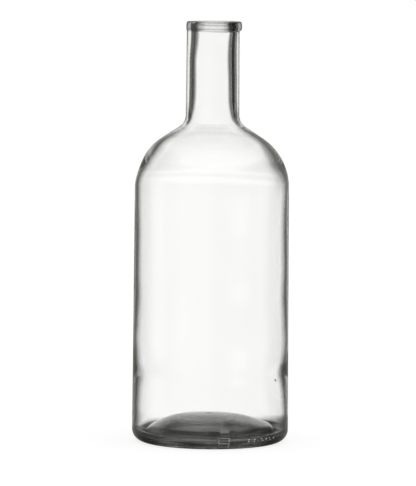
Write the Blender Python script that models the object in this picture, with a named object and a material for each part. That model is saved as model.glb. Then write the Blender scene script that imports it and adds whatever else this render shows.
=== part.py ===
"""A narrow-mouth bottle of clear glass, about half a litre, as it comes off a blow-moulding line.

The whole object is one turned glass wall, so the script draws half of its section, from the middle
of the underside, round the outside to the lip and back down the inside, and spins it about Z.
Lengths are metres. The origin is the middle of the ring that the bottle stands on, +Z points up,
and -Y is the front, the side that carries the locating notch.
"""

import math

import bmesh
import bpy

MM = 0.001

# Body, from the table up
BODY_RADIUS = 37.1 * MM  # widest, just above the heel
BODY_DRAFT = 0.6 * MM  # how much narrower the radius is at the shoulder
STRAIGHT_HEIGHT = 121.0 * MM  # table to where the shoulder starts to turn in
HEEL_ROUND = 5.9 * MM
SHOULDER_ROUND = 28.0 * MM
SHOULDER_TURN = math.radians(56.5)  # how far the shoulder arc turns before the straight cone

# Neck and finish
NECK_BORE_RADIUS = 9.3 * MM
NECK_WALL = 3.35 * MM
NECK_ROOT_ROUND = 6.5 * MM
NECK_LENGTH = 39.8 * MM  # top of the root round to the underside of the lip ring
NECK_DRAFT = 0.2 * MM  # how much narrower the neck is under the lip than at its root
LIP_OVERHANG = 0.75 * MM  # ring beyond the top of the neck
LIP_HEIGHT = 4.4 * MM
LIP_TOP_ROUND = 0.9 * MM
LIP_UNDER_ROUND = 0.4 * MM
LIP_GROIN_ROUND = 0.3 * MM  # hollow corner between the ring and the neck
MOUTH_ROUND = 0.8 * MM
MOUTH_FLARE = 0.4 * MM  # mouth beyond the throat, so that a closure finds its way in
THROAT_DEPTH = 10.0 * MM  # lip top to the narrowest place
THROAT_STEP = 0.35 * MM  # throat inside the neck bore
THROAT_FADE = 18.0 * MM  # throat to where the bore is even

# Glass thickness down the straight body: it settles into a wave while the glass is soft
SHOULDER_WALL = 1.1 * MM
UPPER_WALL = 1.6 * MM
MIDDLE_WALL = 1.9 * MM
THIN_WALL = 1.25 * MM
SETTLED_WALL = 2.4 * MM
FOOT_WALL = 1.6 * MM

# Underside
BEARING_WIDTH = 3.2 * MM  # flat ring that the bottle stands on
PUSH_UP_HEIGHT = 9.6 * MM
PUSH_UP_EDGE_ROUND = 2.0 * MM
PUSH_UP_EDGE_TURN = math.radians(38)
BASE_THICKNESS = 4.8 * MM  # glass under the lowest place inside
CORNER_ROUND = 3.4 * MM  # inside, between the wall and the bottom
CORNER_TURN = math.radians(128)  # from upright, down and round to the slope of the dome
INNER_DOME_RISE = 8.0 * MM

# Locating notch, which turns the bottle to one place on the filling line
NOTCH_WIDTH = 5.6 * MM
NOTCH_DEPTH = 0.45 * MM
NOTCH_LOW_TURN = math.radians(63)  # round the heel, from level: where the notch ends below
NOTCH_CLIMB = 0.4 * MM  # the notch ends this far above the heel's round
NOTCH_AZIMUTH = math.radians(10)  # from the front towards +X
CUT_OVERRUN = 2.0 * MM

# Steps of the mesh
AROUND = 56
BIG_ARC_STEPS = 6
HEEL_STEPS = 5
SMALL_ARC_STEPS = 2
DOME_STEPS = 5
WALL_STEPS_EACH = 2

# Where each wall thickness lies, as shares of the straight wall from the inside corner up
WALL_HEIGHT_SHARES = (0.0, 0.09, 0.18, 0.32, 0.50, 0.72, 1.0)

BODY_TOP_RADIUS = BODY_RADIUS - BODY_DRAFT
NECK_RADIUS = NECK_BORE_RADIUS + NECK_WALL
NECK_TOP_RADIUS = NECK_RADIUS - NECK_DRAFT
LIP_RADIUS = NECK_TOP_RADIUS + LIP_OVERHANG
THROAT_RADIUS = NECK_BORE_RADIUS - THROAT_STEP
MOUTH_RADIUS = THROAT_RADIUS + MOUTH_FLARE
BEARING_OUTER_RADIUS = BODY_RADIUS - HEEL_ROUND
BEARING_INNER_RADIUS = BEARING_OUTER_RADIUS - BEARING_WIDTH


def clear_scene():
    for obj in list(bpy.data.objects):
        bpy.data.objects.remove(obj, do_unlink=True)


def arc(centre, radius, start, end, steps):
    """Points of a round from one angle to another, each (radius, height). Angle 0 points outwards."""
    points = []
    for step in range(steps + 1):
        angle = start + (end - start) * step / steps
        points.append((centre[0] + radius * math.cos(angle), centre[1] + radius * math.sin(angle)))
    return points


def dome(edge, rise, slope, steps):
    """Points from the edge of a round dome in to the axis. It leaves the edge at the given slope."""
    radius, height = edge
    fullness = slope * radius / rise
    points = []
    for step in range(1, steps + 1):
        share = 1 - step / steps
        points.append((radius * share, height + rise * (1 - share**fullness)))
    return points


def eased(share):
    return share * share * (3 - 2 * share)


def shoulder_line():
    """The outside from the top of the straight wall to the root of the neck.

    Each entry is (radius, height, normal angle): the shoulder's round, a straight cone, and the
    hollow round that meets the neck upright.
    """
    turn = SHOULDER_TURN
    centre = (BODY_TOP_RADIUS - SHOULDER_ROUND, STRAIGHT_HEIGHT)
    line = []
    for index, point in enumerate(arc(centre, SHOULDER_ROUND, 0, turn, BIG_ARC_STEPS)):
        line.append((*point, turn * index / BIG_ARC_STEPS))
    cone_radius, cone_height = line[-1][:2]
    root_x = NECK_RADIUS + NECK_ROOT_ROUND
    root_start = root_x - NECK_ROOT_ROUND * math.cos(turn)
    cone_end_height = cone_height + (cone_radius - root_start) / math.tan(turn)
    root_centre = (root_x, cone_end_height + NECK_ROOT_ROUND * math.sin(turn))
    root = arc(root_centre, NECK_ROOT_ROUND, math.pi + turn, math.pi, BIG_ARC_STEPS)
    for index, point in enumerate(root):
        line.append((*point, turn * (1 - index / BIG_ARC_STEPS)))
    return line


def lip_points(underside):
    """The ring round the mouth, from the top of the neck to the mouth's inner edge."""
    top = underside + LIP_HEIGHT
    groin_centre = (NECK_TOP_RADIUS + LIP_GROIN_ROUND, underside - LIP_GROIN_ROUND)
    points = arc(groin_centre, LIP_GROIN_ROUND, math.pi, math.pi / 2, SMALL_ARC_STEPS)
    under = (LIP_RADIUS - LIP_UNDER_ROUND, underside + LIP_UNDER_ROUND)
    points += arc(under, LIP_UNDER_ROUND, -math.pi / 2, 0, SMALL_ARC_STEPS)
    over = (LIP_RADIUS - LIP_TOP_ROUND, top - LIP_TOP_ROUND)
    points += arc(over, LIP_TOP_ROUND, 0, math.pi / 2, SMALL_ARC_STEPS)
    mouth = (MOUTH_RADIUS + MOUTH_ROUND, top - MOUTH_ROUND)
    return points + arc(mouth, MOUTH_ROUND, math.pi / 2, math.pi, SMALL_ARC_STEPS)


def bore_points(lip_top, root_height):
    """The mouth narrows to the throat and opens again to the even bore of the neck."""
    throat = lip_top - THROAT_DEPTH
    points = [(THROAT_RADIUS, throat)]
    for step in range(1, SMALL_ARC_STEPS + 1):
        share = step / SMALL_ARC_STEPS
        radius = THROAT_RADIUS + THROAT_STEP * eased(share)
        points.append((radius, throat - THROAT_FADE * share))
    return [point for point in points if point[1] > root_height]


def inside_shoulder(line):
    """The shoulder line moved in by the glass thickness, which grows towards the neck."""
    points = []
    for index, (radius, height, angle) in enumerate(line):
        share = index / (len(line) - 1)
        wall = SHOULDER_WALL + (NECK_WALL - SHOULDER_WALL) * share**2
        points.append((radius - wall * math.cos(angle), height - wall * math.sin(angle)))
    return points[::-1]


def outside_radius(height):
    """Outer radius of the straight wall at a height."""
    share = (height - HEEL_ROUND) / (STRAIGHT_HEIGHT - HEEL_ROUND)
    return BODY_RADIUS - BODY_DRAFT * share


def inside_wall():
    """The inside of the straight wall, from the shoulder down to the corner, with its settled wave."""
    walls = (FOOT_WALL, FOOT_WALL, SETTLED_WALL, THIN_WALL, MIDDLE_WALL, UPPER_WALL, SHOULDER_WALL)
    low = BASE_THICKNESS + CORNER_ROUND
    span = STRAIGHT_HEIGHT - low
    stations = [(low + span * share, wall) for share, wall in zip(WALL_HEIGHT_SHARES, walls)]
    points = []
    for (low_height, low_wall), (high_height, high_wall) in zip(stations, stations[1:]):
        for step in range(WALL_STEPS_EACH):
            share = step / WALL_STEPS_EACH
            height = low_height + (high_height - low_height) * share
            wall = low_wall + (high_wall - low_wall) * eased(share)
            points.append((outside_radius(height) - wall, height))
    return points[::-1]


def inside_bottom():
    """The corner under the wall turns past level and runs on as the dome over the push-up."""
    height = BASE_THICKNESS + CORNER_ROUND
    centre = (outside_radius(height) - FOOT_WALL - CORNER_ROUND, height)
    corner = arc(centre, CORNER_ROUND, 0, -CORNER_TURN, BIG_ARC_STEPS)[1:]
    slope = math.tan(CORNER_TURN - math.pi / 2)
    return corner + dome(corner[-1], INNER_DOME_RISE, slope, DOME_STEPS)


def underside():
    """The push-up from the axis out, then the flat ring and the heel up to the straight wall."""
    edge_centre = (BEARING_INNER_RADIUS, PUSH_UP_EDGE_ROUND)
    edge_end = -math.pi / 2 - PUSH_UP_EDGE_TURN
    edge = arc(edge_centre, PUSH_UP_EDGE_ROUND, -math.pi / 2, edge_end, SMALL_ARC_STEPS)
    rise = PUSH_UP_HEIGHT - edge[-1][1]
    hollow = edge + dome(edge[-1], rise, math.tan(PUSH_UP_EDGE_TURN), DOME_STEPS)
    heel_centre = (BEARING_OUTER_RADIUS, HEEL_ROUND)
    return hollow[::-1] + arc(heel_centre, HEEL_ROUND, -math.pi / 2, 0, HEEL_STEPS)


def section():
    """The whole half section, from the axis under the bottle round to the axis inside it."""
    shoulder = shoulder_line()
    root_height = shoulder[-1][1]
    lip_underside = root_height + NECK_LENGTH
    outside = underside() + [point[:2] for point in shoulder] + lip_points(lip_underside)
    inside = bore_points(lip_underside + LIP_HEIGHT, root_height)
    inside += inside_shoulder(shoulder) + inside_wall() + inside_bottom()
    return outside + inside


def turned_glass(name, points):
    """A body of revolution about Z. The first and last points of the section lie on the axis."""
    mesh = bpy.data.meshes.new(name)
    shape = bmesh.new()
    verts = [shape.verts.new((0, -radius, height)) for radius, height in points]
    edges = [shape.edges.new(pair) for pair in zip(verts, verts[1:])]
    bmesh.ops.spin(
        shape,
        geom=verts + edges,
        cent=(0, 0, 0),
        axis=(0, 0, 1),
        angle=math.tau,
        steps=AROUND,
        use_merge=True,
    )
    poles = [vert for vert in shape.verts if math.hypot(vert.co.x, vert.co.y) < POLE_REACH]
    bmesh.ops.remove_doubles(shape, verts=poles, dist=POLE_REACH)
    bmesh.ops.recalc_face_normals(shape, faces=shape.faces)
    shape.to_mesh(mesh)
    shape.free()
    obj = bpy.data.objects.new(name, mesh)
    bpy.context.scene.collection.objects.link(obj)
    return obj


def notch_cutter():
    """A block whose inner face lies under the heel's round by the notch's depth."""
    low = (
        BEARING_OUTER_RADIUS + HEEL_ROUND * math.cos(NOTCH_LOW_TURN),
        HEEL_ROUND * (1 - math.sin(NOTCH_LOW_TURN)),
    )
    high = (BODY_RADIUS, HEEL_ROUND + NOTCH_CLIMB)
    length = math.dist(low, high)
    lean = math.atan2(high[0] - low[0], high[1] - low[1])
    reach = CUT_OVERRUN + HEEL_ROUND
    out = (math.cos(lean), -math.sin(lean))
    shift = reach / 2 - NOTCH_DEPTH
    middle = [(a + b) / 2 + shift * way for a, b, way in zip(low, high, out)]
    mesh = bpy.data.meshes.new("notch_cutter")
    shape = bmesh.new()
    bmesh.ops.create_cube(shape, size=1)
    bmesh.ops.scale(shape, vec=(NOTCH_WIDTH, reach, length), verts=shape.verts)
    shape.to_mesh(mesh)
    shape.free()
    cutter = bpy.data.objects.new("notch_cutter", mesh)
    bpy.context.scene.collection.objects.link(cutter)
    radius, height = middle
    cutter.rotation_mode = "ZXY"
    cutter.rotation_euler = (lean, 0, NOTCH_AZIMUTH)
    cutter.location = (
        radius * math.sin(NOTCH_AZIMUTH),
        -radius * math.cos(NOTCH_AZIMUTH),
        height,
    )
    cutter.hide_render = True
    cutter.display_type = "WIRE"
    return cutter


def clear_glass():
    material = bpy.data.materials.new("clear_glass")
    material.use_nodes = True
    shader = material.node_tree.nodes["Principled BSDF"]
    shader.inputs["Base Color"].default_value = (0.90, 0.915, 0.885, 1)
    shader.inputs["Roughness"].default_value = 0.0
    shader.inputs["Metallic"].default_value = 0.0
    shader.inputs["IOR"].default_value = 1.52
    shader.inputs["Transmission Weight"].default_value = 1.0
    return material


clear_scene()
POLE_REACH = HEEL_ROUND / AROUND**2
bottle = turned_glass("glass_bottle", section())
bottle.data.materials.append(clear_glass())
bottle.data.shade_smooth()
bottle.data.set_sharp_from_angle(angle=math.radians(40))
cut = bottle.modifiers.new("locating notch", "BOOLEAN")
cut.operation = "DIFFERENCE"
cut.object = notch_cutter()

half = section()
print("overall height", round(max(height for _, height in half) / MM, 2), "mm")
print("overall diameter", round(2 * max(radius for radius, _ in half) / MM, 2), "mm")
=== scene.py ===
import math

import bmesh
import bpy
from mathutils import Matrix, Vector, geometry, noise


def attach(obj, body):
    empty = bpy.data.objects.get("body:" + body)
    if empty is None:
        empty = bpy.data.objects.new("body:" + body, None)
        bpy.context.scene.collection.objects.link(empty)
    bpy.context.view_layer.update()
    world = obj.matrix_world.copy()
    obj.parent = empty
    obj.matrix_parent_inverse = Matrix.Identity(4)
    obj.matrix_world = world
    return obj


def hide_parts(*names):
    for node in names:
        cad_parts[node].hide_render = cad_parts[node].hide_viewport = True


# %% [markdown]
# A clear glass bottle is one wall of glass with nothing in it, so everything the eye sees is bent
# light. The looks therefore rest on three things: how thick the wall is at every height, a glass
# shader with the index of real glass and a fitted tint, and surroundings that the glass can show.
# The fixed model is loaded first. It gives the size that everything here has to keep.

# %% Load the fixed model
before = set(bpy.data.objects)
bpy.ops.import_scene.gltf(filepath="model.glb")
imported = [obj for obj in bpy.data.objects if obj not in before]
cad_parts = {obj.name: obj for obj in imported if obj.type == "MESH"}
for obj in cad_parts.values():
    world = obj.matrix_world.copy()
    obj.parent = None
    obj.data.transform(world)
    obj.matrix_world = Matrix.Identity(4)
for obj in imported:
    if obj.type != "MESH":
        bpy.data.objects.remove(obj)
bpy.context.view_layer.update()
MM = 0.001

# %% [markdown]
# A bottle maker draws half a section: the line that the glass follows from the middle of the
# underside, out and up to the lip, and down again inside. Such a line is only straight runs and
# rounds. A small pen keeps the tip of the line and the way it is heading, and lets two bmesh
# operators do the drawing: extrude for a straight run, and spin about the round's centre for a
# round. A list of points worked out by hand would give the same line, but it would hide the radii.

# %% A pen for the section
QUARTER = math.pi / 2


class Pen:
    """Draws a line of edges in the XZ plane. Left of its heading is always glass."""

    def __init__(self, radius, height):
        self.shape = bmesh.new()
        self.inward = self.shape.verts.layers.float_vector.new("inward")
        self.uneven = self.shape.verts.layers.float.new("uneven")
        self.scuffed = self.shape.faces.layers.float.new("scuffed")
        self.tip = self.shape.verts.new((radius, 0, height))
        self.heading = 0.0
        self.line_so_far = [self.tip]

    @property
    def radius(self):
        return self.tip.co.x

    @property
    def height(self):
        return self.tip.co.z

    def line_to(self, radius, height, steps=1):
        start, end = self.tip.co.copy(), Vector((radius, 0, height))
        for step in range(1, steps + 1):
            made = bmesh.ops.extrude_vert_indiv(self.shape, verts=[self.tip])
            self.tip = made["verts"][0]
            self.tip.co = start.lerp(end, step / steps)
            self.line_so_far.append(self.tip)
        self.heading = math.atan2(end.z - start.z, end.x - start.x)

    def line(self, length, steps=1):
        way = Vector((math.cos(self.heading), 0, math.sin(self.heading)))
        end = self.tip.co + way * length
        self.line_to(end.x, end.z, steps)

    def line_to_radius(self, radius, steps=1):
        self.line((radius - self.radius) / math.cos(self.heading), steps)

    def line_to_height(self, height, steps=1):
        self.line((height - self.height) / math.sin(self.heading), steps)

    def bend(self, radius, turn, steps):
        """A round of that radius. A turn above zero goes left, towards the glass."""
        side = math.copysign(1, turn)
        normal = Vector((-math.sin(self.heading), 0, math.cos(self.heading))) * side
        known = set(self.shape.verts)
        centre = self.tip.co + normal * radius
        bmesh.ops.spin(
            self.shape, geom=[self.tip], cent=centre, axis=(0, -1, 0), angle=turn, steps=steps
        )
        fresh = [v for v in self.shape.verts if v not in known]
        start = self.tip.co - centre

        def turned(vert):
            arm = vert.co - centre
            return abs(math.atan2(start.cross(arm).y, start.dot(arm)))

        self.line_so_far.extend(sorted(fresh, key=turned))
        self.tip = self.line_so_far[-1]
        self.heading += turn


print("pen strokes:", [name for name in vars(Pen) if not name.startswith("_")])

# %% [markdown]
# The sizes are the glassworks' own: a heel round, a flat ring to stand on, a pushed-up middle, a
# round shoulder that runs into a straight cone, a hollow round at the neck root, and a ring lip.
# The outside is drawn first, from the middle of the underside to the lip.

# %% The outside of the section
BODY_RADIUS = 37.1 * MM
BODY_DRAFT = 0.6 * MM
STRAIGHT_HEIGHT = 121.0 * MM
HEEL_ROUND = 5.9 * MM
SHOULDER_ROUND = 28.0 * MM
SHOULDER_TURN = math.radians(56.5)
NECK_RADIUS = 12.65 * MM
NECK_DRAFT = 0.2 * MM
NECK_ROOT_ROUND = 6.5 * MM
NECK_LENGTH = 39.8 * MM
LIP_RADIUS = 13.2 * MM
LIP_TOP_ROUND = 0.75 * MM
LIP_UNDER_ROUND = 0.35 * MM
LIP_GROIN_ROUND = 0.15 * MM
LIP_FACE_ROUND = 7.0 * MM
LIP_FACE_LEAN = math.radians(15)
BEARING_WIDTH = 3.2 * MM
PUSH_UP_EDGE_ROUND = 2.0 * MM
PUSH_UP_TURN = math.radians(38)

bearing_inner = BODY_RADIUS - HEEL_ROUND - BEARING_WIDTH
push_edge = bearing_inner - PUSH_UP_EDGE_ROUND * math.sin(PUSH_UP_TURN)
push_round = push_edge / math.sin(PUSH_UP_TURN)
push_height = (push_round + PUSH_UP_EDGE_ROUND) * (1 - math.cos(PUSH_UP_TURN))

pen = Pen(0, push_height)
pen.bend(push_round, -PUSH_UP_TURN, 48)
pen.bend(PUSH_UP_EDGE_ROUND, PUSH_UP_TURN, 8)
pen.line(BEARING_WIDTH, 3)
draft_lean = math.atan2(BODY_DRAFT, STRAIGHT_HEIGHT - HEEL_ROUND)
pen.bend(HEEL_ROUND, QUARTER + draft_lean, 20)
wall_start = len(pen.line_so_far) - 1
pen.line_to(BODY_RADIUS - BODY_DRAFT, STRAIGHT_HEIGHT, 24)
pen.bend(SHOULDER_ROUND, SHOULDER_TURN - draft_lean, 36)
root_reach = NECK_ROOT_ROUND * (1 - math.cos(SHOULDER_TURN))
pen.line_to_radius(NECK_RADIUS + root_reach, 4)
pen.bend(NECK_ROOT_ROUND, -SHOULDER_TURN, 16)
root_height = pen.height
lip_under = root_height + NECK_LENGTH
pen.line_to(NECK_RADIUS - NECK_DRAFT, lip_under - LIP_GROIN_ROUND, 12)
outer_skin = [v.co.copy() for v in pen.line_so_far[wall_start:]]
pen.heading = QUARTER
pen.bend(LIP_GROIN_ROUND, -QUARTER, 4)
face_swell = LIP_FACE_ROUND * (1 - math.cos(LIP_FACE_LEAN))
pen.line_to_radius(LIP_RADIUS - face_swell - LIP_UNDER_ROUND * math.cos(LIP_FACE_LEAN))
pen.bend(LIP_UNDER_ROUND, QUARTER - LIP_FACE_LEAN, 6)
pen.bend(LIP_FACE_ROUND, 2 * LIP_FACE_LEAN, 8)
pen.bend(LIP_TOP_ROUND, QUARTER - LIP_FACE_LEAN, 8)
pen.heading = 2 * QUARTER
lip_top = pen.height
print("lip top at", round(lip_top / MM, 2), "mm, push-up to", round(push_height / MM, 2), "mm")

# %% [markdown]
# The inside is not a copy of the outside. The mouth is rounded, the bore is nearly straight, and
# under the neck root the wall thins quickly, because the glass was blown out furthest there. Below,
# a tight corner runs up into a dome that rides over the push-up. The same pen goes on, now downwards.
# The last three values are for a low bump near the dome's top. The pen can't draw it, because it is
# off the axis, so it is raised after the spin.

# %% The inside of the section
BORE_RADIUS = 8.95 * MM
MOUTH_ROUND = 0.8 * MM
INNER_ROOT_ROUND = 9.0 * MM
INNER_ROOT_LIFT = 0.8 * MM
INNER_SHOULDER_ROUND = 27.0 * MM
SHOULDER_WALL = 1.15 * MM
FOOT_WALL = 1.6 * MM
BASE_THICKNESS = 4.2 * MM
CORNER_ROUND = 2.6 * MM
DOME_EDGE_TURN = math.radians(58)
DOME_EDGE_ROUND = 7.5 * MM
DOME_SLOPE = math.radians(25)
DOME_SLOPE_LENGTH = 7.6 * MM
DOME_SIDE_ROUND = 30.0 * MM
DOME_TOP_TURN = math.radians(5)
BUMP_AT = Vector((-0.5 * MM, -3.0 * MM))
BUMP_RADIUS = 2.6 * MM
BUMP_RISE = 0.35 * MM

pen.line_to_radius(BORE_RADIUS + MOUTH_ROUND, 3)
pen.bend(MOUTH_ROUND, QUARTER, 8)
bore_top = pen.height
bore_start = len(pen.line_so_far)
pen.line_to_height(root_height + INNER_ROOT_LIFT, 30)
pen.bend(INNER_ROOT_ROUND, SHOULDER_TURN, 16)
inner_top_radius = BODY_RADIUS - BODY_DRAFT - SHOULDER_WALL
pen.line_to_radius(inner_top_radius - INNER_SHOULDER_ROUND * (1 - math.cos(SHOULDER_TURN)), 6)
pen.bend(INNER_SHOULDER_ROUND, -SHOULDER_TURN, 40)
inner_wall_top = pen.height
corner_height = BASE_THICKNESS + CORNER_ROUND
corner_share = (corner_height - HEEL_ROUND) / (STRAIGHT_HEIGHT - HEEL_ROUND)
pen.line_to(BODY_RADIUS - BODY_DRAFT * corner_share - FOOT_WALL, corner_height, 64)
bore_end = len(pen.line_so_far)
pen.heading = -QUARTER
pen.bend(CORNER_ROUND, -QUARTER - DOME_EDGE_TURN, 20)
pen.bend(DOME_EDGE_ROUND, DOME_EDGE_TURN - DOME_SLOPE, 10)
pen.line(DOME_SLOPE_LENGTH, 12)
pen.bend(DOME_SIDE_ROUND, DOME_SLOPE - DOME_TOP_TURN, 14)
pen.bend(pen.radius / math.sin(DOME_TOP_TURN), DOME_TOP_TURN, 10)
print("inner wall from", round(inner_wall_top / MM, 1), "dome top", round(pen.height / MM, 2))

# %% [markdown]
# Hot glass settles while it is blown, so the wall of a real bottle is nowhere even. It is thin where
# it was blown out furthest, thick in the neck, and it waves a little further down. A dark line runs
# down each side of a bottle as far in as its wall is thick, so these waves are what the eye notices
# first. A modifier such as Solidify gives one thickness only. Here a short table says how thick the
# wall is at a few heights, on the left and on the right, and each point of the inner line is moved
# to that distance from the nearest point of the outer one. The thicknesses were read from where the
# dark side lines stand in a photograph, and adjusted by trial. Nobody measured the glass.

# %% How thick the wall is
# Each station: height, wall on the left, wall on the right, in mm.
WALL_STATIONS = (
    (8.2, 1.95, 1.3), (16, 1.8, 1.4), (24, 2.15, 1.95), (31, 2.45, 2.4), (39, 1.75, 1.6),
    (47, 1.25, 1.25), (57, 1.6, 1.6), (67, 1.85, 1.9), (80, 1.6, 1.7),
    (100, 1.45, 1.65), (112, 1.2, 1.35), (122, 1.15, 1.2),
    (129, 1.45, 1.65), (135, 2.1, 2.3), (141, 2.35, 2.3), (146, 1.85, 1.8), (149, 1.7, 1.7),
    (152, 1.9, 1.9), (155, 2.35, 2.35), (158, 2.82, 2.8), (161, 3.2, 3.12), (164.5, 3.38, 3.25),
    (172, 3.42, 3.3), (180, 3.35, 3.4), (186, 3.45, 3.6), (190, 3.6, 3.8), (196, 3.45, 3.7),
)


def station(height):
    """Mean wall at that height, and half the difference between the right side and the left."""
    heights = [one[0] * MM for one in WALL_STATIONS]
    means = [(one[1] + one[2]) / 2 * MM for one in WALL_STATIONS]
    halves = [(one[2] - one[1]) / 2 * MM for one in WALL_STATIONS]
    height = min(max(height, heights[0]), heights[-1])
    last = len(heights) - 1
    index = next(i for i in range(last) if height <= heights[i + 1])
    gap = heights[index + 1] - heights[index]
    share = (height - heights[index]) / gap

    def eased(values):
        def slope(i):
            low, high = max(i - 1, 0), min(i + 1, last)
            return (values[high] - values[low]) / (heights[high] - heights[low]) * gap

        a, b = values[index], values[index + 1]
        back = 1 - share
        return (
            a * back * back * (1 + 2 * share) + b * share * share * (1 + 2 * back)
            + slope(index) * share * back * back - slope(index + 1) * share * share * back
        )

    return eased(means), eased(halves)


for at in (20, 80, 122, 170):
    print("wall at", at, "mm:", round(station(at * MM)[0] / MM, 2))

# %% Move the inner line to the settled wall
FADE_AT_MOUTH = 14 * MM
FADE_AT_CORNER = 6 * MM


def nearest_outside(point):
    best = None
    for a, b in zip(outer_skin, outer_skin[1:]):
        at, share = geometry.intersect_point_line(point, a, b)
        at = a.lerp(b, min(1, max(0, share)))
        if best is None or (at - point).length < (best - point).length:
            best = at
    return best


section = pen.shape
inner_line = pen.line_so_far[bore_start:bore_end]
for vert in inner_line:
    near = nearest_outside(vert.co)
    way = (vert.co - near).normalized()
    mean, half = station(near.z)
    fade = min((bore_top - vert.co.z) / FADE_AT_MOUTH, (vert.co.z - corner_height) / FADE_AT_CORNER)
    fade = min(1, max(0, fade))
    drawn = (vert.co - near).length
    vert.co = near + way * (drawn + (mean - drawn) * fade)
    vert[pen.inward] = way
    vert[pen.uneven] = half * fade
print("inner points moved:", len(inner_line))

# %% [markdown]
# A bottle is turned, so one full spin of the section makes it. With use_merge the last copy of the
# line is welded to the first, and the two ends on the axis are merged to single points, so the skin
# is closed. The section ran anticlockwise round the glass, but the normals are recalculated anyway.
# The Screw modifier would do the same, but the next steps need the points.

# %% Spin the section
AROUND = 224
POLE_REACH = 0.02 * MM
POLE_MERGE = 0.05 * MM
bmesh.ops.spin(
    section,
    geom=section.verts[:] + section.edges[:],
    cent=(0, 0, 0),
    axis=(0, 0, 1),
    angle=math.tau,
    steps=AROUND,
    use_merge=True,
)
pole = [v for v in section.verts if v.co.xy.length < POLE_REACH]
bmesh.ops.remove_doubles(section, verts=pole, dist=POLE_MERGE)
bmesh.ops.recalc_face_normals(section, faces=section.faces)
print("points in the skin:", len(section.verts))

# %% [markdown]
# A turned shape is too perfect. This bottle's lip sits a little to the right of its axis, the left
# shoulder is slightly flat, the wall differs from side to side, its inner skin is faintly wavy, and
# the dome inside has its low bump.
# Each is a small shift of the points, with soft ends. The waves come from a noise that reads only the
# place of a point, so they are the same on each run. A Displace modifier could make the waves, but
# not the side-to-side difference of the table.

# %% Uneven glass
LIP_SHIFT = 0.45 * MM
FLAT_SHOULDER = 0.6 * MM
FLAT_SHOULDER_HEIGHT = 131.0 * MM
FLAT_SHOULDER_REACH = 10.0 * MM
BORE_SHIFT_BELOW_TOP = 20 * MM
BORE_SHIFT_OVER = 16 * MM
WAVE = 0.06 * MM
WAVES_PER_METRE = 70
WAVE_UPRIGHT = 0.35
SKIN_GAP = 1.5 * MM


def soft_step(value):
    value = min(1, max(0, value))
    return value * value * (3 - 2 * value)


neck_top = NECK_RADIUS - NECK_DRAFT
for vert in section.verts:
    inward = vert[pen.inward]
    inside = vert.co.xy.length < NECK_RADIUS - SKIN_GAP
    if inside:
        shift = LIP_SHIFT * soft_step((vert.co.z - lip_top + BORE_SHIFT_BELOW_TOP) / BORE_SHIFT_OVER)
    else:
        overhang = (vert.co.xy.length - neck_top) / (LIP_RADIUS - neck_top)
        on_ring = vert.co.z > lip_under + LIP_UNDER_ROUND
        above = vert.co.z > lip_under - 1.5 * LIP_GROIN_ROUND
        shift = LIP_SHIFT * (1 if on_ring else above * min(1, max(0, overhang)))
    if vert.co.x < 0 and vert.co.z > 0.5 * STRAIGHT_HEIGHT:
        near_flat = 1 - soft_step(abs(vert.co.z - FLAT_SHOULDER_HEIGHT) / FLAT_SHOULDER_REACH)
        shift += FLAT_SHOULDER * near_flat * (vert.co.x / BODY_RADIUS) ** 2
    if inward.length > 0.5:
        around = vert.co.xy.normalized()
        at = Vector((vert.co.x, vert.co.y, vert.co.z * WAVE_UPRIGHT)) * WAVES_PER_METRE
        wave = noise.noise(at) * WAVE
        move = vert[pen.uneven] * around.x + wave
        vert.co += Vector((around.x * inward.x, around.y * inward.x, inward.z)) * move
    vert.co.x += shift
    if push_height < vert.co.z < 2 * push_height:
        away = (vert.co.xy - BUMP_AT).length
        vert.co.z += BUMP_RISE * (1 - soft_step(away / BUMP_RADIUS))
print("lip shifted by", round(LIP_SHIFT / MM, 2), "mm")

# %% [markdown]
# A moulded bottle carries small marks round its heel: here a plain rectangle with a bar across it,
# and a row of raised dots to its right. A single speck sits higher up, where a grain marked the glass.
# The rectangle, the dots and the speck are real shapes, not paint: some faces of the skin are inset
# and pushed in or out. The bar is not cut; its faces, like the rims and the dots, are noted as scuffed
# in a face attribute, which the glass reads later, because raised edges are the first to lose their
# polish. A boolean could cut the marks, but it leaves long thin triangles, and these would show as
# streaks in clear glass.

# %% Find a place on the outside
NOTCH_AZIMUTH = math.radians(10)
NOTCH_HALF_WIDTH = 2.6 * MM
NOTCH_LOW, NOTCH_HIGH = 0.75 * MM, 6.3 * MM
NOTCH_RIM = 0.3 * MM
NOTCH_BAR = 3.3 * MM
NOTCH_BAR_HALF = 0.25 * MM
NOTCH_DEPTH = 0.3 * MM
DOT_AZIMUTHS = (29, 34, 41.5, 45.5, 49.5, 53.7)
DOT_LOW, DOT_HIGH = 4.1 * MM, 4.6 * MM
DOT_RISE = 0.14 * MM
DOT_INSET = 0.1 * MM
SPECK_AT = (30.6 * MM, 32.0 * MM)
SPECK_INSET = 0.2 * MM
SPECK_DEPTH = 0.25 * MM
SPECK_CUTS = 8
TURNED_TO_FRONT = -0.05
OUTER_SKIN = 1.0 * MM


def outer_face_at(across, height):
    """The front outer face at that distance to the right of the middle and that height."""

    def miss(face):
        centre = face.calc_center_median()
        return (centre.x - across) ** 2 + (centre.z - height) ** 2

    def in_front(face):
        centre = face.calc_center_median()
        return centre.y < 0 and face.normal.y < TURNED_TO_FRONT and centre.xy.length > reach(face)

    return min(filter(in_front, section.faces), key=miss)


def reach(face):
    """Between the inner and the outer surface: a face further out than this is on the outside."""
    drop = max(0, HEEL_ROUND - face.calc_center_median().z)
    heel_curve = math.sqrt(max(0, HEEL_ROUND ** 2 - drop ** 2))
    return BODY_RADIUS - HEEL_ROUND + heel_curve - OUTER_SKIN


section.normal_update()
print("speck at height", round(outer_face_at(*SPECK_AT).calc_center_median().z / MM, 1))

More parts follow.
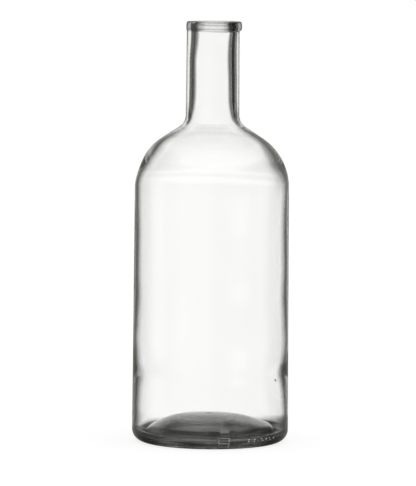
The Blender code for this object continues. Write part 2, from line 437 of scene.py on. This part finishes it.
# %% Press the marks
SCUFFED_RIM, SCUFFED_DOT = 1.0, 3.0
notch_faces = []
for face in section.faces:
    centre = face.calc_center_median()
    around = math.atan2(centre.x, -centre.y) - NOTCH_AZIMUTH
    if centre.xy.length > reach(face) and NOTCH_LOW < centre.z < NOTCH_HIGH:
        if abs(around) * BODY_RADIUS < NOTCH_HALF_WIDTH:
            notch_faces.append(face)
rim = bmesh.ops.inset_region(
    section, faces=notch_faces, thickness=NOTCH_RIM, depth=-NOTCH_DEPTH
)["faces"]
bar = [f for f in notch_faces if abs(f.calc_center_median().z - NOTCH_BAR) < NOTCH_BAR_HALF]
dots = [
    outer_face_at(BODY_RADIUS * math.sin(math.radians(azimuth)), height)
    for azimuth in DOT_AZIMUTHS
    for height in (DOT_LOW, DOT_HIGH)
]
bmesh.ops.inset_individual(section, faces=dots, thickness=DOT_INSET, depth=DOT_RISE)
for face in rim + bar + dots:
    face[pen.scuffed] = SCUFFED_DOT if face in dots else SCUFFED_RIM
tall_face = outer_face_at(*SPECK_AT)
uprights = [e for e in tall_face.edges if abs(e.verts[0].co.z - e.verts[1].co.z) > MM]
bmesh.ops.subdivide_edges(section, edges=uprights, cuts=SPECK_CUTS, use_grid_fill=True)
section.normal_update()
speck = [outer_face_at(*SPECK_AT)]
bmesh.ops.inset_individual(section, faces=speck, thickness=SPECK_INSET, depth=-SPECK_DEPTH)
print("faces in the rectangle:", len(notch_faces), "dots:", len(dots))

# %% [markdown]
# The finished skin becomes one object at the origin. It rides on the bottle's only body and stands
# for the fixed model's only node, so the plain solid is hidden. Smooth shading is enough here,
# because the mesh follows every round.

# %% Make the bottle
mesh = bpy.data.meshes.new("bottle_glass")
section.to_mesh(mesh)
section.free()
mesh.shade_smooth()
bottle = bpy.data.objects.new("bottle_glass", mesh)
bpy.context.scene.collection.objects.link(bottle)
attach(bottle, "root")
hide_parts("glass_bottle")
print("triangles", sum(len(p.vertices) - 2 for p in mesh.polygons))

# %% [markdown]
# Three materials and the room are made from nodes. Written out one by one these take a page each, so
# a small class adds a node, wires it and returns its output. A ramp is the one that does most work: it
# turns a measure in millimetres or degrees into a level, from a short list of pairs.
# Light that has met many surfaces of a bottle has little left of it, so one helper dims by ray depth.

# %% A short way to write nodes
TURNS_COUNTED = 12.0
TURNS_LEVEL = (
    (0, 1.0), (5.3, 1.0), (5.7, 0.55), (6.3, 0.55), (6.7, 0.24), (7.3, 0.24), (7.7, 0.16),
    (TURNS_COUNTED, 0.1),
)


class Nodes:
    """A node tree with short ways to add and wire nodes."""

    def __init__(self, owner):
        owner.use_nodes = True
        self.tree = owner.node_tree
        self.tree.nodes.clear()

    def add(self, kind, **inputs):
        node = self.tree.nodes.new(kind)
        for name, value in inputs.items():
            self.feed(node.inputs[name.replace("_", " ")], value)
        return node

    def feed(self, socket, value):
        if isinstance(value, bpy.types.NodeSocket):
            self.tree.links.new(value, socket)
        else:
            socket.default_value = value

    def math(self, operation, *values):
        node = self.tree.nodes.new("ShaderNodeMath")
        node.operation = operation
        for socket, value in zip(node.inputs, values):
            self.feed(socket, value)
        return node.outputs[0]

    def choose(self, switch, low, high):
        node = self.tree.nodes.new("ShaderNodeMix")
        node.data_type = "FLOAT"
        for socket, value in zip((node.inputs[0], node.inputs[2], node.inputs[3]), (switch, low, high)):
            self.feed(socket, value)
        return node.outputs[0]

    def ramp(self, value, reach, stops, start=0):
        """A colour ramp over a reach. The stops are pairs of distance and level."""
        node = self.tree.nodes.new("ShaderNodeValToRGB")
        elements = node.color_ramp.elements
        elements.remove(elements[-1])
        for index, (at, level) in enumerate(stops):
            at = (at - start) / reach
            element = elements[0] if index == 0 else elements.new(at)
            element.position = at
            element.color = (level, level, level, 1)
        self.feed(node.inputs[0], self.math("DIVIDE", value, reach))
        return node.outputs[0]

    def outside_of(self, value, low, high):
        """How far the value is past a span, or zero within it."""
        above, below = self.math("SUBTRACT", value, high), self.math("SUBTRACT", low, value)
        return self.math("MAXIMUM", self.math("MAXIMUM", above, below), 0.0)

    def after_many_turns(self):
        """Light left for a ray that has met more surfaces than a straight look through the wall does."""
        path = self.add("ShaderNodeLightPath")
        turns = self.math("MINIMUM", path.outputs["Ray Depth"], TURNS_COUNTED)
        return self.ramp(turns, TURNS_COUNTED, TURNS_LEVEL)

    def length_of(self, a, b):
        """Length of a flat vector."""
        squares = self.math("ADD", self.math("MULTIPLY", a, a), self.math("MULTIPLY", b, b))
        return self.math("SQRT", squares)


print("node helpers:", [name for name in vars(Nodes) if not name.startswith("_")])

# %% [markdown]
# Clear bottle glass has an index of 1.52 and hardly any colour: a faint yellow-grey, seen only where
# light runs along the glass. Glass looks dark at its edges because the light there comes from far to
# the side. It also gets less light through, because it passes more glass, and a picture of a real
# bottle shows still deeper edges than a plain shader. So shade is painted into the glass colour: the
# painted shade deepens as the surface turns away, which Layer Weight measures, and it is deeper again
# in the thick places: the dome, the heel and the lip ring. There is also a painted shadow line on the
# ring and painted shade on the lip's top corner. Each is a ramp over height or radius, read from Object
# coordinates, or over the angle. The levels were fitted by comparing renders with a photograph, so
# they are a look and not a measurement.

# %% Where a point is on the glass
HEIGHT_SPAN, RADIUS_SPAN, FOOT_SPAN = 200.0, 40.0, 20.0
# Painted shade: the glass colour darkens as the surface turns away from the look, by angle in degrees.
GRAZING_PAINTED_SHADE = ((0, 1.0), (64, 0.98), (70, 0.83), (75, 0.58), (80, 0.42), (90, 0.32))
ring = lip_under / MM
# Painted shade on the dome and the underside, darker towards the edge of the base.
DOME_PAINTED_SHADE = ((0, 0.95), (12, 0.91), (19, 0.8), (25, 0.5), (29, 0.26), (34, 0.2), (40, 0.2))
# Painted shade on the heel, deeper as the surface turns away from the look.
HEEL_PAINTED_SHADE = ((0, 1.0), (30, 0.97), (42, 0.8), (53, 0.58), (65, 0.34), (80, 0.18), (90, 0.12))
# Painted shade by height: dark low on the wall, and slightly darker on the lip ring.
WALL_PAINTED_SHADE = (
    (0, 0.5), (1.0, 0.55), (2.4, 0.72), (5.5, 0.72), (8, 0.98), (11, 1.0),
    (ring + 0.1, 1.0), (ring + 0.5, 0.94), (HEIGHT_SPAN, 0.94),
)
# Painted shade on the lip ring, by the angle between the look and the surface.
RING_PAINTED_SHADE = (
    (0, 1.0), (20, 0.98), (28, 0.86), (36, 0.55), (50, 0.4), (60, 0.48), (68, 0.38), (75, 0.2),
    (90, 0.1),
)
RING_STARTS = ((0, 0.0), (ring + 0.1, 0.0), (ring + 0.6, 1.0))
RING_RADIUS = 12.0
GROIN_SPAN = 5.0
# A painted shadow line round the outside of the lip ring, just above its under-round.
GROIN_PAINTED_SHADOW_LINE = ((0.45, 1.0), (0.75, 0.45), (1.15, 0.45), (1.5, 1.0))
CORNER_FROM, CORNER_SPAN = lip_top / MM - 10, 20.0
CORNER_STARTS = ((8.7, 0.0), (9.4, 1.0))
# Painted shade on the outer top corner of the lip.
CORNER_PAINTED_SHADE = 0.55
DOME_EDGE, DOME_CEILING = 34.0, 20.0
HEEL_EDGE = 28.0
HEEL_ENDS = ((4, 1.0), (8, 0.0))
BLUE_SHARE = 0.997

glass = bpy.data.materials.new("clear_glass")
look = Nodes(glass)
place = look.add("ShaderNodeTexCoord").outputs["Object"]
x, y, z = look.add("ShaderNodeSeparateXYZ", Vector=place).outputs
height = look.math("DIVIDE", z, MM)
radius = look.math("DIVIDE", look.length_of(x, y), MM)
facing = look.add("ShaderNodeLayerWeight", Blend=0.5).outputs["Facing"]
print("lip ring starts at", round(ring, 1), "mm")

# %% Painted shade in the glass colour
def by_facing(stops):
    """A ramp over the angle between the look and the surface's normal, in degrees."""
    return look.ramp(facing, 1, [(1 - math.cos(math.radians(angle)), level) for angle, level in stops])


# Painted shade at the edges, by the angle between the look and the surface.
grazing_painted_shade = by_facing(GRAZING_PAINTED_SHADE)
on_dome = look.math("LESS_THAN", radius, DOME_EDGE)
on_ring = look.ramp(height, HEIGHT_SPAN, RING_STARTS)
# Painted shade in the thick glass: the base by radius, the rest by height.
thick_glass_painted_shade = look.choose(
    look.math("MULTIPLY", on_dome, look.math("LESS_THAN", height, DOME_CEILING)),
    look.ramp(height, HEIGHT_SPAN, WALL_PAINTED_SHADE),
    look.ramp(radius, RADIUS_SPAN, DOME_PAINTED_SHADE),
)
heel_height = look.ramp(height, FOOT_SPAN, HEEL_ENDS)
on_heel = look.math("MULTIPLY", heel_height, look.math("GREATER_THAN", radius, HEEL_EDGE))
# The painted shadow line, only outside the bore and above where the ring starts.
groin_painted_shadow_line = look.ramp(look.math("SUBTRACT", height, ring), GROIN_SPAN, GROIN_PAINTED_SHADOW_LINE)
groin_painted_shadow_line = look.choose(look.math("GREATER_THAN", radius, RING_RADIUS), 1.0, groin_painted_shadow_line)
groin_painted_shadow_line = look.choose(look.math("GREATER_THAN", height, ring), 1.0, groin_painted_shadow_line)
corner_height = look.ramp(look.math("SUBTRACT", height, CORNER_FROM), CORNER_SPAN, CORNER_STARTS)
on_corner = look.math("MULTIPLY", look.math("GREATER_THAN", radius, RING_RADIUS), corner_height)
# All the painted shade multiplies into one level. A trace less blue is the glass's own faint warmth.
painted_shade = look.math("MULTIPLY", grazing_painted_shade, thick_glass_painted_shade)
# Painted shade on the lip ring and the heel by angle, and on the lip's top corner.
for mask, levels in (
    (on_ring, by_facing(RING_PAINTED_SHADE)),
    (on_heel, by_facing(HEEL_PAINTED_SHADE)),
    (on_corner, CORNER_PAINTED_SHADE),
):
    painted_shade = look.math("MULTIPLY", painted_shade, look.choose(mask, 1.0, levels))
painted_shade = look.math("MULTIPLY", painted_shade, groin_painted_shadow_line)
blue_painted_shade = look.math("MULTIPLY", painted_shade, BLUE_SHARE)
glass_colour_with_painted_shade = look.add("ShaderNodeCombineColor", Red=painted_shade, Green=painted_shade, Blue=blue_painted_shade)
print("tint made from", len(look.tree.nodes), "nodes")

# %% [markdown]
# The underside of the push-up was never polished. It touched the mould's plunger, and that is why the
# base of a clear bottle looks like smoked glass: its roughness scatters what would pass straight
# through, and painted shade in the base's colour darkens it further. The heel is smoother, with fine
# level streaks left by the mould. A little of its light is scattered back as from a fine dust, which
# also lifts the rims and dots. Bump alone would give the streaks but not the soft grey, and a wholly
# diffuse base would lose its depth.

# %% Where the mould touched the glass
UNDERSIDE_ROUGHNESS, HEEL_ROUGHNESS = 0.14, 0.08
UNDERSIDE_CROWN, UNDERSIDE_FALL, UNDERSIDE_LOWEST = 11.0, 8.6, 2.4
UNDERSIDE_EDGE = 30.0
UNDERSIDE_ROUGH_WITHIN = 32
HEEL_SIDE_FROM = 35.8
HEEL_SIDE_ENDS = ((0, 1.0), (5, 1.0), (7.5, 0.0))
HEEL_UNDER_CEILING = 3.2
STREAK_SCALE = (60, 60, 900)
STREAK_STRENGTH = 0.6
STREAK_DEPTH = 0.25 * MM
out_share = look.math("POWER", look.math("DIVIDE", radius, UNDERSIDE_EDGE), 2.0)
crown = look.math("ADD", look.math("MULTIPLY", out_share, -UNDERSIDE_FALL), UNDERSIDE_CROWN)
under = look.math("LESS_THAN", height, look.math("MAXIMUM", crown, UNDERSIDE_LOWEST))
heel_side = look.math(
    "MULTIPLY",
    look.math("GREATER_THAN", radius, HEEL_SIDE_FROM),
    look.ramp(height, FOOT_SPAN, HEEL_SIDE_ENDS),
)
heel_under = look.math(
    "MULTIPLY",
    look.math("GREATER_THAN", radius, HEEL_EDGE),
    look.math("LESS_THAN", height, HEEL_UNDER_CEILING),
)
heel = look.math("MAXIMUM", heel_side, heel_under)
moulded = look.math("MAXIMUM", under, heel)
under_middle = look.math("MULTIPLY", under, look.math("LESS_THAN", radius, UNDERSIDE_ROUGH_WITHIN))
rough = look.math(
    "MAXIMUM",
    look.math("MULTIPLY", under_middle, UNDERSIDE_ROUGHNESS),
    look.math("MULTIPLY", heel, HEEL_ROUGHNESS),
)
stretched = look.add("ShaderNodeMapping", Vector=place, Scale=STREAK_SCALE)
ripple = look.add("ShaderNodeTexNoise", Vector=stretched.outputs[0], Scale=1.0, Detail=2.0)
streaks = look.math("MULTIPLY", moulded, STREAK_STRENGTH)
bumps = look.add(
    "ShaderNodeBump", Strength=streaks, Distance=STREAK_DEPTH, Height=ripple.outputs[0]
)
print("rough underside up to", UNDERSIDE_CROWN, "mm")

# %% The glass shader
HEEL_CLOUD = ((0.35, 0.05), (0.5, 0.08), (0.65, 0.14))
MARK_CLOUD = 0.32
GLASS_INDEX = 1.52
GLASS_BODY_COLOUR = (0.36, 0.36, 0.2, 1)
GLASS_BODY_DENSITY = 10.0
scuffed = look.add("ShaderNodeAttribute")
scuffed.attribute_name = "scuffed"
clouded = look.math("MULTIPLY", heel, look.ramp(ripple.outputs[0], 1, HEEL_CLOUD))
clouded = look.math("ADD", clouded, look.math("MULTIPLY", scuffed.outputs["Fac"], MARK_CLOUD))
shader = look.add(
    "ShaderNodeBsdfPrincipled",
    Base_Color=glass_colour_with_painted_shade.outputs[0],
    Roughness=rough,
    IOR=GLASS_INDEX,
    Transmission_Weight=look.math("SUBTRACT", 1.0, clouded),
    Normal=bumps.outputs[0],
)
depth = look.add("ShaderNodeVolumeAbsorption", Color=GLASS_BODY_COLOUR, Density=GLASS_BODY_DENSITY)
look.add("ShaderNodeOutputMaterial", Surface=shader.outputs[0], Volume=depth.outputs[0])
bottle.data.materials.append(glass)
print("glass nodes:", len(look.tree.nodes))

# %% [markdown]
# A bottle is photographed against a bright white ground, with the rest of the room dark, because the
# dark sides of the room are what draws its outline. So the world has three faces. To the camera and to
# plain surfaces it is white, at strength 1. To light that has passed through the glass it is mostly
# dark, with a few soft white cards far to the sides, and to light mirrored by the glass it is a grey
# room. Lamps would be the other way, but they would light the floor and not the bottle: clear glass
# shows only what stands behind and beside it. No real room treats light like this, so the bottle will
# look different in another scene. Dim light from the room has a little less blue, because a clear
# bottle looks faintly warm where it is dark.

# %% Directions in the room
STEEP_LEVEL = ((0, 0.22), (62, 0.2), (76, 0.0), (104, 0.0), (118, 0.09), (180, 0.12))
MIRRORED_AHEAD = 0.3
MIRRORED_ABOVE = 0.5
MIRRORED_BELOW = 0.03
MIRRORED_BEHIND = ((0, 0.42), (0.9, 0.42), (1.1, 0.0), (2, 0.0))
AHEAD_STARTS = ((1.2, 0.0), (1.4, 1.0))
ABOVE_STARTS = ((1.5, 0.0), (1.65, 1.0))
BELOW_ENDS = ((0.5, 1.0), (0.75, 0.0))
DEGREES = 180 / math.pi
# Each far card: azimuth, lowest and highest elevation, in degrees.
FAR_CARDS = ((225, -19, -11), (45, -30, -20), (90, -14, 10))
FAR_CARD_FLATTENED = 2.5
FAR_CARD_FALL = (
    (0, 1.0), (7, 1.0), (8.4, 0.9), (10, 0.77), (12.3, 0.6), (15.4, 0.4),
    (18.6, 0.3), (20.6, 0.2), (24.6, 0.12), (29.7, 0.05), (90, 0.03),
)
world = bpy.data.worlds.new("studio")
bpy.context.scene.world = world
room = Nodes(world)
split = room.add("ShaderNodeSeparateXYZ", Vector=room.add("ShaderNodeTexCoord").outputs["Generated"])
east, north, up = split.outputs
elevation = room.math("MULTIPLY", room.math("ARCSINE", up), DEGREES)
flat_length = room.length_of(east, north)


def far_card(azimuth, low, high):
    """A soft white card seen when looking along that azimuth, between two elevations."""
    way = math.radians(azimuth)
    to_east, to_north = -math.sin(way), math.cos(way)
    along = room.math(
        "ADD", room.math("MULTIPLY", east, to_east), room.math("MULTIPLY", north, to_north)
    )
    turn = room.math("ARCCOSINE", room.math("DIVIDE", along, flat_length))
    past = room.math("MULTIPLY", room.outside_of(elevation, low, high), FAR_CARD_FLATTENED)
    off = room.length_of(room.math("MULTIPLY", turn, DEGREES), past)
    return room.ramp(off, 90, FAR_CARD_FALL)


print("room reads a direction as east, north and up")

# %% What passes through the glass
level = far_card(*FAR_CARDS[0])
for card_place in FAR_CARDS[1:]:
    level = room.math("MAXIMUM", level, far_card(*card_place))
steep = room.ramp(room.math("ADD", elevation, 90.0), 180, STEEP_LEVEL)
level = room.math("MULTIPLY", room.math("MAXIMUM", level, steep), room.after_many_turns())
print("far cards:", len(FAR_CARDS))


# %% What the glass mirrors
def across_room(axis, stops):
    """A ramp over one axis of the direction: 0 is straight against it, 2 is straight along it."""
    return room.ramp(room.math("ADD", axis, 1.0), 2, stops)


path = room.add("ShaderNodeLightPath")
mirrored = across_room(east, MIRRORED_BEHIND)
for axis, stops, grey in (
    (north, AHEAD_STARTS, MIRRORED_AHEAD),
    (up, ABOVE_STARTS, MIRRORED_ABOVE),
    (up, BELOW_ENDS, MIRRORED_BELOW),
):
    mirrored = room.choose(across_room(axis, stops), mirrored, grey)
print("mirrored greys ahead, above and below:", MIRRORED_AHEAD, MIRRORED_ABOVE, MIRRORED_BELOW)

# %% Put the room together
THROUGH_GAIN = 1.06
WARM = 0.92
WARM_BELOW = 0.6
through = path.outputs["Is Transmission Ray"]
seen = room.choose(through, mirrored, room.math("MULTIPLY", level, THROUGH_GAIN))
blue = room.choose(through, WARM, room.ramp(level, 1, ((0, WARM), (WARM_BELOW, 1.0))))
plain = room.math("MAXIMUM", path.outputs["Is Camera Ray"], path.outputs["Is Diffuse Ray"])
blue = room.choose(plain, blue, 1.0)
seen = room.choose(plain, seen, 1.0)
hue = room.add("ShaderNodeCombineColor", Red=1.0, Green=1.0, Blue=blue)
back = room.add("ShaderNodeBackground", Color=hue.outputs[0], Strength=seen)
room.add("ShaderNodeOutputWorld", Surface=back.outputs[0])
print("room nodes:", len(room.tree.nodes))

# %% [markdown]
# Behind the bottle hangs one white card. It is close, so what each part of the bottle shows depends on
# where it stands in front of it, and the world can't do that, because it is endlessly far away. The
# card ends in soft edges: glass bends the view sideways by more and more towards its outline, and where
# the view passes the edge of the card, the dark side line begins. The card is seen only through
# the glass, so it lights nothing, and a transparent sheet with some glow added lets the white ground
# through it. Its levels across and up were fitted by comparing renders with a photograph.

# %% How white the card is
CARD_DISTANCE = 130 * MM
CARD_HALF_CUT = 130 * MM
CARD_BOTTOM, CARD_TOP = -2 * MM, 300 * MM
CARD_STRETCH_UP = 2.6
CARD_MIDDLE = 200 * MM
CARD_WHITE = 1.17
CARD_ACROSS_LOW = (
    (-130, 0.0), (-97, 0.02), (-85, 0.09), (-75, 0.28), (-67, 0.54), (-60, 0.82), (-53, 1.0),
    (-46, 1.05), (-38, 1.0), (38, 1.0), (46, 1.08), (53, 1.15), (60, 1.14), (67, 0.98), (75, 0.68),
    (85, 0.33), (97, 0.12), (112, 0.04), (130, 0.0),
)
CARD_ACROSS_HIGH = (
    (-130, 0.0), (-97, 0.02), (-85, 0.06), (-75, 0.2), (-67, 0.41), (-60, 0.63), (-53, 0.84),
    (-46, 1.0), (36, 1.0), (40, 0.85), (46, 0.5), (53, 0.22), (60, 0.14), (100, 0.09), (130, 0.06),
)
CARD_LOW_TO_HIGH = ((30, 0.0), (100, 0.0), (165, 1.0))
CARD_DIMMER_ABOVE = (
    (100, 0.93), (118, 0.91), (122, 0.96), (127, 0.99), (131, 0.92), (135, 0.93), (138, 0.97),
    (142, 0.99), (145, 0.92), (150, 0.9), (158, 0.93),
)
CARD_DOWN = ((0, 1.0), (4, 0.7), (9, 0.3), (16, 0.1), (30, 0.03), (60, 0.0))
CARD_DOWN_SPAN = 110
print("card is", 2 * CARD_HALF_CUT / MM, "mm wide")

# %% Cut the card
card_shape = bmesh.new()
bmesh.ops.create_grid(card_shape, x_segments=1, y_segments=1, size=CARD_HALF_CUT)
upright = Matrix.Rotation(QUARTER, 3, "X")
bmesh.ops.rotate(card_shape, verts=card_shape.verts, cent=(0, 0, 0), matrix=upright)
bmesh.ops.scale(card_shape, verts=card_shape.verts, vec=(1, 1, CARD_STRETCH_UP))
bmesh.ops.translate(card_shape, verts=card_shape.verts, vec=(0, CARD_DISTANCE, CARD_MIDDLE))
card_mesh = bpy.data.meshes.new("card_behind")
card_shape.to_mesh(card_mesh)
card_shape.free()
card = bpy.data.objects.new("card_behind", card_mesh)
bpy.context.scene.collection.objects.link(card)
print("card cut, mm high:", round(2 * CARD_HALF_CUT * CARD_STRETCH_UP / MM))

# %% Paint and hang the card
paper = bpy.data.materials.new("card_behind")
sheet = Nodes(paper)
on_card = sheet.add("ShaderNodeSeparateXYZ", Vector=sheet.add("ShaderNodeTexCoord").outputs["Object"])
card_x, _, card_z = on_card.outputs
half_cut = CARD_HALF_CUT / MM
tall = sheet.math("DIVIDE", card_z, MM)
aside = sheet.math("ADD", sheet.math("DIVIDE", card_x, MM), half_cut)
white = sheet.choose(
    sheet.ramp(tall, HEIGHT_SPAN, CARD_LOW_TO_HIGH),
    sheet.ramp(aside, 2 * half_cut, CARD_ACROSS_LOW, -half_cut),
    sheet.ramp(aside, 2 * half_cut, CARD_ACROSS_HIGH, -half_cut),
)
past = sheet.math("DIVIDE", sheet.outside_of(card_z, CARD_BOTTOM, CARD_TOP), MM)
for dimmer in (
    sheet.ramp(past, CARD_DOWN_SPAN, CARD_DOWN),
    sheet.ramp(tall, HEIGHT_SPAN, CARD_DIMMER_ABOVE),
    sheet.after_many_turns(),
    CARD_WHITE,
):
    white = sheet.math("MULTIPLY", white, dimmer)
lit = sheet.add("ShaderNodeEmission", Strength=white)
clear = sheet.add("ShaderNodeBsdfTransparent")
mixed = sheet.add("ShaderNodeAddShader")
sheet.feed(mixed.inputs[0], clear.outputs[0])
sheet.feed(mixed.inputs[1], lit.outputs[0])
sheet.add("ShaderNodeOutputMaterial", Surface=mixed.outputs[0])
paper.cycles.emission_sampling = "NONE"
card.data.materials.append(paper)
for ray in ("camera", "diffuse", "glossy", "shadow", "volume_scatter"):
    setattr(card, "visible_" + ray, False)
print("card hung", CARD_DISTANCE / MM, "mm behind the axis")

# %% [markdown]
# The floor is plain and pale. It glows a little and takes the rest of its light from the room, so that
# it comes out white where nothing shades it and keeps the bottle's faint shadow. It is hidden from light
# in the glass, because the photo's bottle doesn't show a floor in its walls.

# %% Lay the floor
FLOOR_REACH = 1.5
FLOOR_GREY = 0.25
FLOOR_GLOW = 0.83
floor_shape = bmesh.new()
bmesh.ops.create_grid(floor_shape, x_segments=1, y_segments=1, size=FLOOR_REACH)
floor_mesh = bpy.data.meshes.new("floor")
floor_shape.to_mesh(floor_mesh)
floor_shape.free()
floor = bpy.data.objects.new("floor", floor_mesh)
bpy.context.scene.collection.objects.link(floor)
pale = bpy.data.materials.new("pale_floor")
ground = Nodes(pale)
diffuse = ground.add("ShaderNodeBsdfDiffuse", Color=(FLOOR_GREY, FLOOR_GREY, FLOOR_GREY, 1))
glow = ground.add("ShaderNodeEmission", Strength=FLOOR_GLOW)
both = ground.add("ShaderNodeAddShader")
ground.feed(both.inputs[0], diffuse.outputs[0])
ground.feed(both.inputs[1], glow.outputs[0])
ground.add("ShaderNodeOutputMaterial", Surface=both.outputs[0])
floor.data.materials.append(pale)
floor.visible_transmission = False
floor.visible_glossy = False
print("floor brightness in the open:", FLOOR_GREY + FLOOR_GLOW)

# %% [markdown]
# The camera stands far off with a long lens, as for a product photo, so the bottle's sides stay nearly
# parallel. Its height follows from two ellipses: the rim is seen almost level and the heel from a
# little above. It is turned by half a degree about its view, because the photo's bottle leans so much.

# %% Camera
CAMERA_LENS = 287.6
CAMERA_AT = Vector((0, -1.836, 0.2418))
CAMERA_TARGET = Vector((-0.00165, 0, 0.0944))
CAMERA_ROLL = math.radians(0.47)
CAMERA_SENSOR = 36
CAMERA_SEES_TO = 20
camera = bpy.data.objects.new("camera", bpy.data.cameras.new("camera"))
bpy.context.scene.collection.objects.link(camera)
camera.data.lens = CAMERA_LENS
camera.data.sensor_width = CAMERA_SENSOR
camera.data.clip_end = CAMERA_SEES_TO
aim = (CAMERA_TARGET - CAMERA_AT).to_track_quat("-Z", "Y").to_matrix().to_4x4()
camera.matrix_world = Matrix.Translation(CAMERA_AT) @ aim @ Matrix.Rotation(CAMERA_ROLL, 4, "Z")
bpy.context.scene.camera = camera
bpy.context.scene.view_settings.view_transform = "Standard"
drop = math.atan2(CAMERA_AT.z - CAMERA_TARGET.z, -CAMERA_AT.y)
print("camera looks down by", round(math.degrees(drop), 2), "degrees")

# %% [markdown]
# The visual bottle has to fill the same box as the fixed model.
